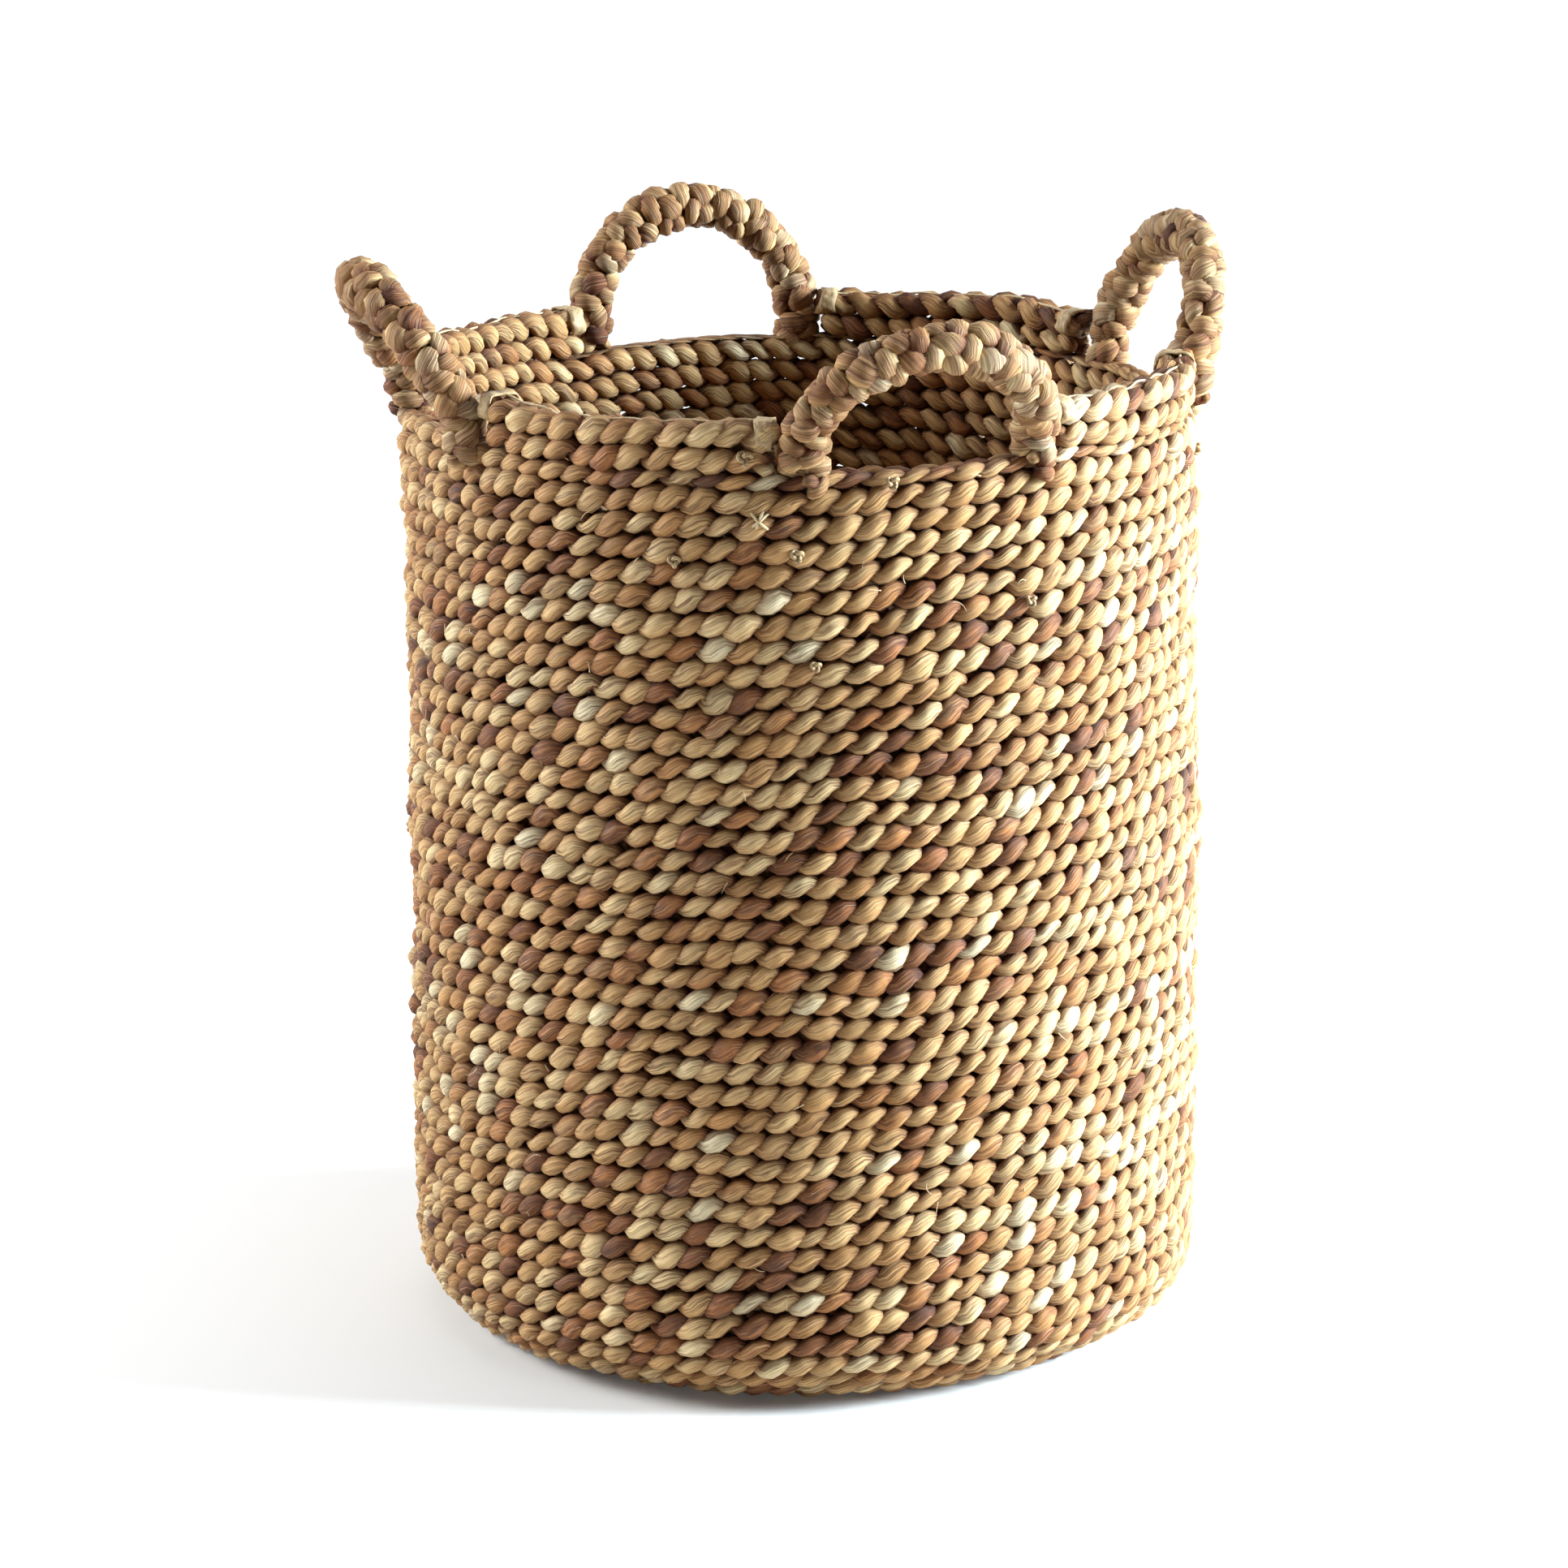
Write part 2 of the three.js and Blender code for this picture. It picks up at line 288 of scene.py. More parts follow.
@dataclass(frozen=True)
class StemFinish:
    """Dried water hyacinth stem: satin skin with fine ribs, each stem its own shade.

    It reads three attributes of a plait: stem_place, in millimetres along the stem and round it,
    stem_tone, from 0 for brown to 1 for straw, and stem_tuck, from 0 on a grain's crown to 1 where
    it goes under its neighbour, by which it paints shade into the stem's colour.
    """

    name: str = "hyacinth_stem"
    roughness: float = 0.46
    rib_depth: float = 1.0 * MM
    shades: tuple[tuple[float, Colour], ...] = (
        (0.00, (0.24, 0.088, 0.030)),
        (0.18, (0.38, 0.138, 0.038)),
        (0.36, (0.43, 0.214, 0.071)),
        (0.62, (0.54, 0.320, 0.126)),
        (0.84, (0.66, 0.460, 0.220)),
        (1.00, (0.68, 0.545, 0.330)),
    )
    olive: Colour = (0.36, 0.275, 0.145)
    amber: Colour = (0.52, 0.245, 0.075)
    rot: Colour = (0.070, 0.024, 0.012)
    rust: Colour = (0.27, 0.094, 0.028)
    streak: Colour = (0.23, 0.085, 0.030)
    straw: Colour = (0.74, 0.57, 0.34)
    # Colour of the painted shade where a stem goes under its neighbour or presses on the next course.
    tucked: Colour = (0.27, 0.082, 0.030)
    furrow: Colour = (0.20, 0.11, 0.06)

    def material(self) -> bpy.types.Material:
        """Builds the finish.

        Returns:
            The material.
        """
        sh = Shader(self.name, IOR=1.45, Specular_IOR_Level=0.32)
        place = sh.attribute("stem_place", out=1)
        gap_shade = sh.attribute("stem_tuck")
        ribs = self._field(sh, place, 0.045, 1.7, 3.0, 0.6)
        fibres = self._field(sh, place, 0.03, 4.6, 2.0, 0.6)
        folds = self._field(sh, place, 0.07, 0.52, 1.5, 0.45)
        patches = self._field(sh, place, 0.6, 0.12, 3.0, 0.6)
        light = 1.04 + 0.95 * (ribs - 0.5) + 0.95 * (fibres - 0.5)
        # Painted shade: the skin darkens towards where the stem goes under its neighbour.
        light = light * (1.0 - 0.40 * gap_shade)
        warm = sh.node("ShaderNodeCombineColor", {}, light, light**1.30, light**1.65)
        skin = sh.blend("MULTIPLY", 1.0, self._dyed(sh, place, patches), warm)
        # More painted shade there, multiplied in as a dark red-brown.
        skin = sh.blend("MULTIPLY", (gap_shade * 1.2).clipped(), skin, self.tucked)
        crease = self._line(sh, folds, 0.5, 16.0) * ((patches - 0.44) * 7.0).clipped()
        groove = self._line(sh, ribs, 0.42, 16.0)
        skin = sh.blend("MULTIPLY", crease * 0.70 + groove * 0.30, skin, self.furrow)
        skin = sh.blend("MIX", self._line(sh, ribs, 0.66, 14.0) * 0.22, skin, self.straw)
        height = ribs * 1.0 + fibres * 0.30 - crease * 0.16 - groove * 0.06
        rough = self.roughness + 0.30 * (1.0 - ribs) + 0.2 * gap_shade
        bump = sh.bump(0.85, self.rib_depth, height)
        return sh.connect(Base_Color=skin, Roughness=rough, Normal=bump)

    def _dyed(self, sh: Shader, place: Wire, patches: Wire) -> Wire:
        """Colours the stem before its ribs and creases.

        Args:
            sh: The shader.
            place: Where on the stem, in millimetres.
            patches: Slow noise that picks the kind of brown.

        Returns:
            The colour.
        """
        tone = sh.attribute("stem_tone")
        warmth = self._field(sh, place, 0.4, 0.10, 2.0, 0.5)
        stains = self._field(sh, place, 0.30, 0.38, 4.0, 0.62)
        streaks = self._field(sh, place, 0.10, 0.55, 2.0, 0.5)
        skin = sh.node("ShaderNodeValToRGB", {"stops": self.shades}, tone + 0.35 * (warmth - 0.5))
        skin = sh.blend("MIX", ((warmth - 0.52) * 4.0).clipped() * 0.45, skin, self.olive)
        skin = sh.blend("MIX", ((0.46 - warmth) * 4.0).clipped() * 0.5, skin, self.amber)
        brown = sh.blend("MIX", ((patches - 0.35) * 3.5).clipped(), self.rot, self.rust)
        stained = ((stains - 0.52 + (0.30 - tone) * 1.1) * 4.6).clipped()
        skin = sh.blend("MIX", stained * 0.86, skin, brown)
        return sh.blend("MIX", ((streaks - 0.57) * 7.0).clipped() * 0.74, skin, self.streak)

    @staticmethod
    def _field(sh: Shader, place: Wire, along: float, scale: float, detail: float, rough: float) -> Wire:
        """Noise drawn out along the stem, by 1 over the first number."""
        return sh.noise(sh.stretched(place, (along, 1.0, 1.0)), scale, detail, rough)

    @staticmethod
    def _line(sh: Shader, values: Wire, level: float, sharpness: float) -> Wire:
        """A thin line where a field of values crosses a level."""
        away = sh.node("ShaderNodeMath", {"operation": "ABSOLUTE"}, values - level)
        return (1.0 - away * sharpness).clipped()


@dataclass(frozen=True)
class CoreFinish:
    """The bundle of plain stems inside a handle."""

    name: str = "stem_core"
    dark: Colour = (0.10, 0.052, 0.024)
    light: Colour = (0.24, 0.140, 0.065)

    def material(self) -> bpy.types.Material:
        """Builds a matt brown with a little variation.

        Returns:
            The material.
        """
        sh = Shader(self.name, Roughness=0.85)
        mix = sh.noise(sh.node("ShaderNodeTexCoord", {}, out=3), 140.0, 3.0)
        return sh.connect(Base_Color=sh.blend("MIX", mix, self.dark, self.light))


@dataclass(frozen=True)
class RaffiaFinish:
    """Pale split leaf, used flat for bindings and twisted for thread."""

    name: str
    light: Colour
    dark: Colour
    grain: tuple[float, float, float] = (260.0, 260.0, 40.0)

    def material(self) -> bpy.types.Material:
        """Builds two shades streaked along the leaf.

        Returns:
            The material.
        """
        sh = Shader(self.name, Roughness=0.6, Specular_IOR_Level=0.3)
        place = sh.stretched(sh.node("ShaderNodeTexCoord", {}, out=3), self.grain)
        streaks = sh.noise(place, 3.0, 4.0, 0.6)
        skin = sh.blend("MIX", ((streaks - 0.3) * 2.4).clipped(), self.dark, self.light)
        return sh.connect(Base_Color=skin, Normal=sh.bump(0.6, 0.4 * MM, streaks))


@dataclass(frozen=True)
class FloorFinish:
    """Plain pale floor."""

    name: str = "pale_floor"
    tint: Colour = (0.67, 0.63, 0.59)
    glow: float = 0.05

    def material(self) -> bpy.types.Material:
        """Builds an even matt finish.

        Returns:
            The material.
        """
        sh = Shader(self.name, Base_Color=(*self.tint, 1), Roughness=0.9, Emission_Strength=self.glow)
        sh.surface.inputs["Emission Color"].default_value = (1, 1, 1, 1)
        return sh.material


# ---- Meshes from arrays ---------------------------------------------------------------------------


def signed_volume(points: np.ndarray, quads: np.ndarray) -> float:
    """Volume inside quads.

    Args:
        points: Points shaped (count, 3).
        quads: Four point numbers for each quad.

    Returns:
        The volume, negative when the quads face inwards.
    """
    a, b, c, d = (points[quads[:, i]] for i in range(4))
    first = np.einsum("ij,ij->i", a, np.cross(b, c)).sum()
    return float(first + np.einsum("ij,ij->i", a, np.cross(c, d)).sum()) / 6


@dataclass
class TubeBatch:
    """Closed tubes gathered for one mesh, with their attributes."""

    points: list = field(default_factory=list)
    quads: list = field(default_factory=list)
    caps: list = field(default_factory=list)
    maps: list = field(default_factory=list)
    attributes: dict = field(default_factory=dict)
    count: int = 0

    def add(self, rings: np.ndarray, attributes: dict) -> None:
        """Adds one tube.

        Args:
            rings: Points shaped (rings, sides, 3).
            attributes: Arrays by name, shaped (rings, sides) or (rings, sides, 3).
        """
        steps, sides = rings.shape[:2]
        i, j = np.meshgrid(np.arange(steps - 1), np.arange(sides), indexing="ij")
        k = (j + 1) % sides
        quads = np.stack([i * sides + j, (i + 1) * sides + j, (i + 1) * sides + k, i * sides + k], -1)
        quads = quads.reshape(-1, 4)
        flat = rings.reshape(-1, 3)
        flip = signed_volume(flat - flat.mean(0), quads) < 0
        place = np.stack([i, i + 1, i + 1, i], -1).reshape(-1, 4)
        around = np.stack([j, j, j + 1, j + 1], -1).reshape(-1, 4) / sides
        first, last = np.arange(sides), (steps - 1) * sides + np.arange(sides)
        caps = [first, last[::-1]]
        if flip:
            quads, place, around = quads[:, ::-1], place[:, ::-1], around[:, ::-1]
            caps = [cap[::-1] for cap in caps]
        self.quads.append(quads + self.count)
        self.caps += [cap + self.count for cap in caps]
        self.maps.append((place, around, steps))
        self.points.append(flat)
        for name, values in attributes.items():
            self.attributes.setdefault(name, []).append(values.reshape(len(flat), -1))
        self.count += len(flat)

    def _bake_map(self, sides: int) -> np.ndarray:
        """Lays each tube out in strips, row under row.

        Args:
            sides: How many sides each tube has.

        Returns:
            One map place for each face corner.
        """
        total = sum(steps for _, _, steps in self.maps)
        run = max(8, int(math.ceil(math.sqrt(total * sides / 3.0))))
        rows_before, uv = 0, []
        for place, around, steps in self.maps:
            start = place.min(1, keepdims=True)
            row = start // run
            along = (place - row * run) / run
            uv.append(np.stack([along, rows_before + row + 0.04 + 0.92 * around], -1))
            rows_before += int(math.ceil(steps / run))
        uv = np.concatenate(uv).reshape(-1, 2)
        uv[:, 1] /= rows_before
        caps = np.concatenate([np.tile(uv[:1], (len(cap), 1)) for cap in self.caps])
        return np.concatenate([uv, caps])

    def build(self, name: str) -> bpy.types.Object:
        """Makes the object.

        Args:
            name: The piece's name.

        Returns:
            The object, smooth shaded, at the origin.
        """
        points = np.concatenate(self.points)
        quads = np.concatenate(self.quads)
        sides = len(self.caps[0])
        corners = np.concatenate([quads.ravel(), *self.caps])
        starts = np.concatenate(
            [np.arange(len(quads)) * 4, len(quads) * 4 + np.cumsum([0] + [len(c) for c in self.caps[:-1]])]
        )
        mesh = bpy.data.meshes.new(name)
        mesh.vertices.add(len(points))
        mesh.vertices.foreach_set("co", points.astype(np.float32).ravel())
        mesh.loops.add(len(corners))
        mesh.loops.foreach_set("vertex_index", corners.astype(np.int32))
        mesh.polygons.add(len(starts))
        mesh.polygons.foreach_set("loop_start", starts.astype(np.int32))
        mesh.polygons.foreach_set("use_smooth", np.ones(len(starts), bool))
        mesh.update(calc_edges=True)
        for key, values in self.attributes.items():
            data = np.concatenate(values).astype(np.float32)
            kind = "FLOAT_VECTOR" if data.shape[1] == 3 else "FLOAT"
            layer = mesh.attributes.new(key, kind, "POINT")
            layer.data.foreach_set("vector" if data.shape[1] == 3 else "value", data.ravel())
        layer = mesh.uv_layers.new(name="OFBake")
        layer.uv.foreach_set("vector", self._bake_map(sides).astype(np.float32).ravel())
        mesh.validate()
        piece = bpy.data.objects.new(name, mesh)
        bpy.context.scene.collection.objects.link(piece)
        return piece


# ---- Where a plait lies ---------------------------------------------------------------------------

# A lay maps flat plait coordinates to the basket: s along the plait, u across its width and w
# through its thickness, all in metres.
Lay = Callable[[np.ndarray, np.ndarray, np.ndarray], np.ndarray]

# Waves that run over the wall, in and out and up and down: size in millimetres, waves round the
# basket, radians per metre of height, and phase.
SWELLS = (
    (1.1, 2, 6, 0.7),
    (0.9, 5, -13, 0.0),
    (0.6, 9, 41, 1.3),
    (0.5, 3, 67, 0.0),
    (0.5, 23, 90, 0.0),
    (0.4, 31, -170, 0.0),
)
LIFTS = (
    (1.1, 3, 11, 0.0),
    (0.9, 7, -23, 2.0),
    (0.7, 13, 37, 0.0),
    (0.5, 19, -71, 0.5),
)
EVEN_REACH = 0.15  # nearer the basket's axis than this, the waves fade away
EVEN_HEIGHT = 0.06  # and nearer the floor than this


def uneven(points: np.ndarray) -> np.ndarray:
    """Gives hand-made unevenness to points on the wall.

    Args:
        points: Points shaped (..., 3).

    Returns:
        The moved points.
    """
    x, y, z = points[..., 0], points[..., 1], points[..., 2]
    turn, reach = np.arctan2(y, x), np.hypot(x, y)
    fade = np.clip(reach / EVEN_REACH, 0, 1) * np.clip(z / EVEN_HEIGHT, 0, 1) * MM
    swell, lift = (
        sum(size * np.sin(around * turn + up * z + phase) for size, around, up, phase in waves)
        for waves in (SWELLS, LIFTS)
    )
    scale = 1 + swell * fade / np.maximum(reach, 0.02)
    return np.stack([x * scale, y * scale, z + lift * fade], -1)


def worn_flat(points: np.ndarray, start: float = 2.0 * MM) -> np.ndarray:
    """Presses the underside of the base flat, above the floor.

    Args:
        points: Points shaped (..., 3).
        start: Height below which the pressing begins.

    Returns:
        The moved points.
    """
    out = points.copy()
    z = points[..., 2]
    out[..., 2] = np.where(z < start, start * np.exp(np.minimum(z - start, 0) / start), z)
    return out


@dataclass
class BasketShape:
    """The basket's profile, read from the CAD frame."""

    corner_courses: int = 5
    rim_courses: int = 2
    base_turns: int = 14
    gap: float = 0.15 * MM

    def __post_init__(self) -> None:
        """Reads the boxes of the CAD nodes."""
        self.base_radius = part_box("base_outer_coil")[1].x + self.gap
        self.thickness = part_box("base_outer_coil")[1].z
        self.corner_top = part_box("corner_coil_upper")[1].z + self.gap
        self.wall_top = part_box("wall_coil_8")[1].z + self.gap
        self.rim_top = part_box("rim_upper_front_right")[1].z + self.gap
        self.bottom_radius = self.base_radius + self.corner_top
        self.top_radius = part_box("wall_coil_8")[1].x
        self.pitch = (self.rim_top - self.wall_top) / self.rim_courses
        self.wall_courses = round((self.wall_top - self.corner_top) / self.pitch)
        self.base_pitch = self.base_radius / self.base_turns
        self.turns = self.base_turns + self.corner_courses + self.wall_courses

    def radius_at(self, z: np.ndarray) -> np.ndarray:
        """Crest radius of the wall.

        Args:
            z: Height above the floor.

        Returns:
            The radius there.
        """
        share = (z - self.corner_top) / (self.rim_top - self.corner_top)
        return self.bottom_radius + (self.top_radius - self.bottom_radius) * np.clip(share, 0, 1)

    def profile(self, course: np.ndarray, u: np.ndarray) -> tuple[np.ndarray, np.ndarray]:
        """Radius and height of a place on the coil's section.

        Args:
            course: Courses counted from the middle of the base.
            u: Distance out from the middle of the thickness.

        Returns:
            Radius and height.
        """
        half = self.thickness / 2
        corner_at, wall_at = self.base_turns, self.base_turns + self.corner_courses
        turn = np.clip((course - corner_at) / self.corner_courses, 0, 1) * math.pi / 2
        bend = self.corner_top - half + u
        base_r = course * self.base_pitch
        corner_r = self.base_radius + bend * np.sin(turn)
        corner_z = self.corner_top - bend * np.cos(turn)
        wall_z = self.corner_top + (course - wall_at) * self.pitch
        wall_r = self.radius_at(wall_z) - half + u
        r = np.where(course < corner_at, base_r, np.where(course < wall_at, corner_r, wall_r))
        z = np.where(course < wall_at, corner_z, wall_z)
        return r, z


class CoilLay:
    """Lays the plait in one spiral from the middle of the base to the top of the wall."""

    def __init__(self, shape: BasketShape) -> None:
        """Measures the spiral's length turn by turn.

        Args:
            shape: The basket's profile.
        """
        steps_per_turn = 400
        self.shape = shape
        self.turns = np.linspace(0, shape.turns, shape.turns * steps_per_turn + 1)
        radius, _ = shape.profile(self.turns + 0.5, np.zeros_like(self.turns))
        step = np.diff(self.turns) * TAU
        self.lengths = np.concatenate([[0], np.cumsum(step * (radius[1:] + radius[:-1]) / 2)])

    def length_at(self, turn: float) -> float:
        """Length of plait from the start to a turn."""
        return float(np.interp(turn, self.turns, self.lengths))

    def __call__(self, s: np.ndarray, u: np.ndarray, w: np.ndarray) -> np.ndarray:
        """Places flat plait coordinates on the spiral.

        Args:
            s: Length along the plait.
            u: Distance out from the middle of the wall.
            w: Distance up from the middle of the course.

        Returns:
            Points shaped (..., 3).
        """
        turn = np.interp(s, self.lengths, self.turns)
        left = np.clip(self.shape.turns - turn, 0.05, 1)
        course = turn + left / 2 + w / self.shape.pitch * left
        r, z = self.shape.profile(course, u * (0.45 + 0.55 * left))
        angle = TAU * turn + COIL_START
        return worn_flat(uneven(np.stack([r * np.cos(angle), r * np.sin(angle), z], -1)))


def arc_ends(node: str, radius: float) -> tuple[float, float]:
    """Angles at which a CAD arc starts and ends.

    Args:
        node: An arc whose middle lies halfway between two handles.
        radius: The arc's outer radius.

    Returns:
        The first and last angle.
    """
    low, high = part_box(node)
    middle = math.atan2(low.y + high.y, low.x + high.x)
    half = math.pi / 4 - math.acos(min(1.0, max(abs(low.x), abs(high.x)) / radius))
    return middle - half, middle + half


class ArcLay:
    """Lays the plait along one rim course between two handles."""

    def __init__(self, shape: BasketShape, course: int, start: float, height: float) -> None:
        """Sets the arc.

        Args:
            shape: The basket's profile.
            course: Rim course counted from 0.
            start: Angle at which s is 0.
            height: Height of this course as a share of the nominal one.
        """
        self.shape, self.start, self.height = shape, start, height
        self.middle = shape.wall_top + (course + 0.5) * shape.pitch
        self.radius = shape.radius_at(np.array(self.middle)) - shape.thickness / 2

    def __call__(self, s: np.ndarray, u: np.ndarray, w: np.ndarray) -> np.ndarray:
        """Places flat plait coordinates on the arc.

        Args:
            s: Length along the plait.
            u: Distance out from the middle of the wall.
            w: Distance up from the middle of the course.

        Returns:
            Points shaped (..., 3).
        """
        angle = self.start + s / self.radius
        r = self.radius + u
        z = self.middle + w * self.height
        return uneven(np.stack([r * np.cos(angle), r * np.sin(angle), z], -1))


class RopeLay:
    """Winds the plait round the core of one handle, its flat face outward."""

    TURN_PITCH = 19.4 * MM  # along the rope from one turn of the plait to the next
    WIND_OUT = -4.4 * MM  # from the foot's outside to the middle of the plait
    FOOT_BELOW = 5 * MM  # how far the rope goes on below the top of the wall
    FOOT_FLARE = -1.5 * MM  # how far the end of the foot stands out
    SWELLS = ((0.05, 21 * MM, 900.0), (0.04, 9 * MM, 0.0))  # share, length and phase per half span

    def __init__(self, shape: BasketShape, name: str, joint: dict) -> None:
        """Reads the handle's bend line and arch.

        Args:
            shape: The basket's profile.
            name: The handle.
            joint: The joint on which it leans.
        """
        self.hinge = np.array(joint["pos_m"], float)
        self.outward = np.array([self.hinge[0], self.hinge[1], 0.0])
        self.outward /= np.linalg.norm(self.outward)
        self.sideways = np.array([-self.outward[1], self.outward[0], 0.0])
        feet = [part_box(f"{name}_handle_{side}_foot") for side in ("left", "right")]
        middles = [(low + high) / 2 for low, high in feet]
        self.half_span = (middles[1] - middles[0]).length / 2
        self.rope_radius = (feet[0][1] - feet[0][0]).x / 2
        out, up = self._top_of_arch(name)
        self.lean, self.rise = math.atan2(out, up), math.hypot(out, up)
        self.drop = self.hinge[2] - shape.wall_top + self.FOOT_BELOW
        self.winding = self.rope_radius + self.WIND_OUT
        self.slope = math.atan2(self.TURN_PITCH, TAU * self.winding)
        angle = np.linspace(0, math.pi, 400)
        arch = np.stack([-self.half_span * np.cos(angle), self.rise * np.sin(angle)], -1)
        foot = np.array([[-self.half_span, -self.drop]])
        self.path = np.concatenate([foot, arch, foot * [-1, 1]])
        step = np.linalg.norm(np.diff(self.path, axis=0), axis=1)
        self.reach = np.concatenate([[0], np.cumsum(step)])
        self.length = self.reach[-1] / math.sin(self.slope)

    def _top_of_arch(self, name: str) -> tuple[float, float]:
        """Finds the middle of the rope at the top of the arch, from the box of its core.

        Args:
            name: The handle.

        Returns:
            How far out from the bend line it lies, and how far above.
        """
        corners = [np.array(corner) - self.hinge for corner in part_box(f"{name}_handle_core")]
        radius = max(abs(corner @ self.sideways) for corner in corners) - self.half_span
        return max(corner @ self.outward for corner in corners) - radius, corners[1][2] - radius

    def __call__(self, s: np.ndarray, u: np.ndarray, w: np.ndarray) -> np.ndarray:
        """Places flat plait coordinates on the rope.

        Args:
            s: Length along the plait.
            u: Distance across the plait.
            w: Distance out from the middle of the plait.

        Returns:
            Points shaped (..., 3).
        """
        along = s * math.sin(self.slope) + u * math.cos(self.slope)
        turn = (s * math.cos(self.slope) - u * math.sin(self.slope)) / self.winding
        held = np.clip(along, 0, self.reach[-1])
        y, z = (np.interp(held, self.reach, self.path[:, i]) for i in (0, 1))
        ahead = np.clip(held + 3 * MM, 0, self.reach[-1])
        behind = np.clip(held - 3 * MM, 0, self.reach[-1])
        ty, tz = (
            np.interp(ahead, self.reach, self.path[:, i]) - np.interp(behind, self.reach, self.path[:, i])
            for i in (0, 1)
        )
        size = np.hypot(ty, tz)
        ty, tz = ty / size, tz / size
        y, z = y + ty * (along - held), z + tz * (along - held)
        swell = 1 + sum(
            share * np.sin(along / length + self.half_span * phase) for share, length, phase in self.SWELLS
        )
        radius = (self.winding + w) * swell
        out = radius * np.cos(turn)
        y, z = y + radius * np.sin(turn) * tz, z - radius * np.sin(turn) * ty
        leant = np.clip((z + BEND_REACH) / (2 * BEND_REACH), 0, 1)
        bend = self.lean * leant * leant * (3 - 2 * leant)
        out, z = out * np.cos(bend) + z * np.sin(bend), z * np.cos(bend) - out * np.sin(bend)
        flare = self.FOOT_FLARE * np.clip(-z / self.drop, 0, 1) ** 2
        local = (out + flare)[..., None] * self.outward + y[..., None] * self.sideways
        local[..., 2] += z
        return self.hinge + local


# ---- The plait ------------------------------------------------------------------------------------


